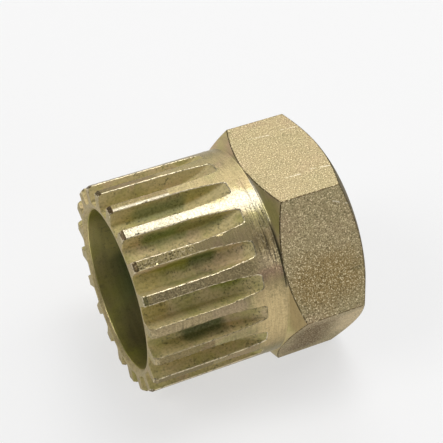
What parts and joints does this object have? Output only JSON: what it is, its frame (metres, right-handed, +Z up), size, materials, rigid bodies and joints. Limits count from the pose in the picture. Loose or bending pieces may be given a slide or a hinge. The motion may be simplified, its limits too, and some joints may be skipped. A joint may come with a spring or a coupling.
{
  "type": "bottom bracket tool",
  "caption": "Splined socket with a toothed open end and a hexagon head, for turning bottom bracket cups with a spanner.",
  "frame": {"origin": "on the surface it lies on, under the middle of its length", "axes": "+X along the tool's axis from the toothed mouth to the hexagon's rear face, +Y across two corners of the hexagon, +Z up through the upper flat"},
  "size_m": [0.034, 0.037, 0.032],
  "materials": {
    "yellow_zinc": "yellow passivated zinc plate, satin, with milled grain on the flats"
  },
  "bodies": {
    "root": {"splined_socket": "yellow_zinc"}
  },
  "joints": []
}
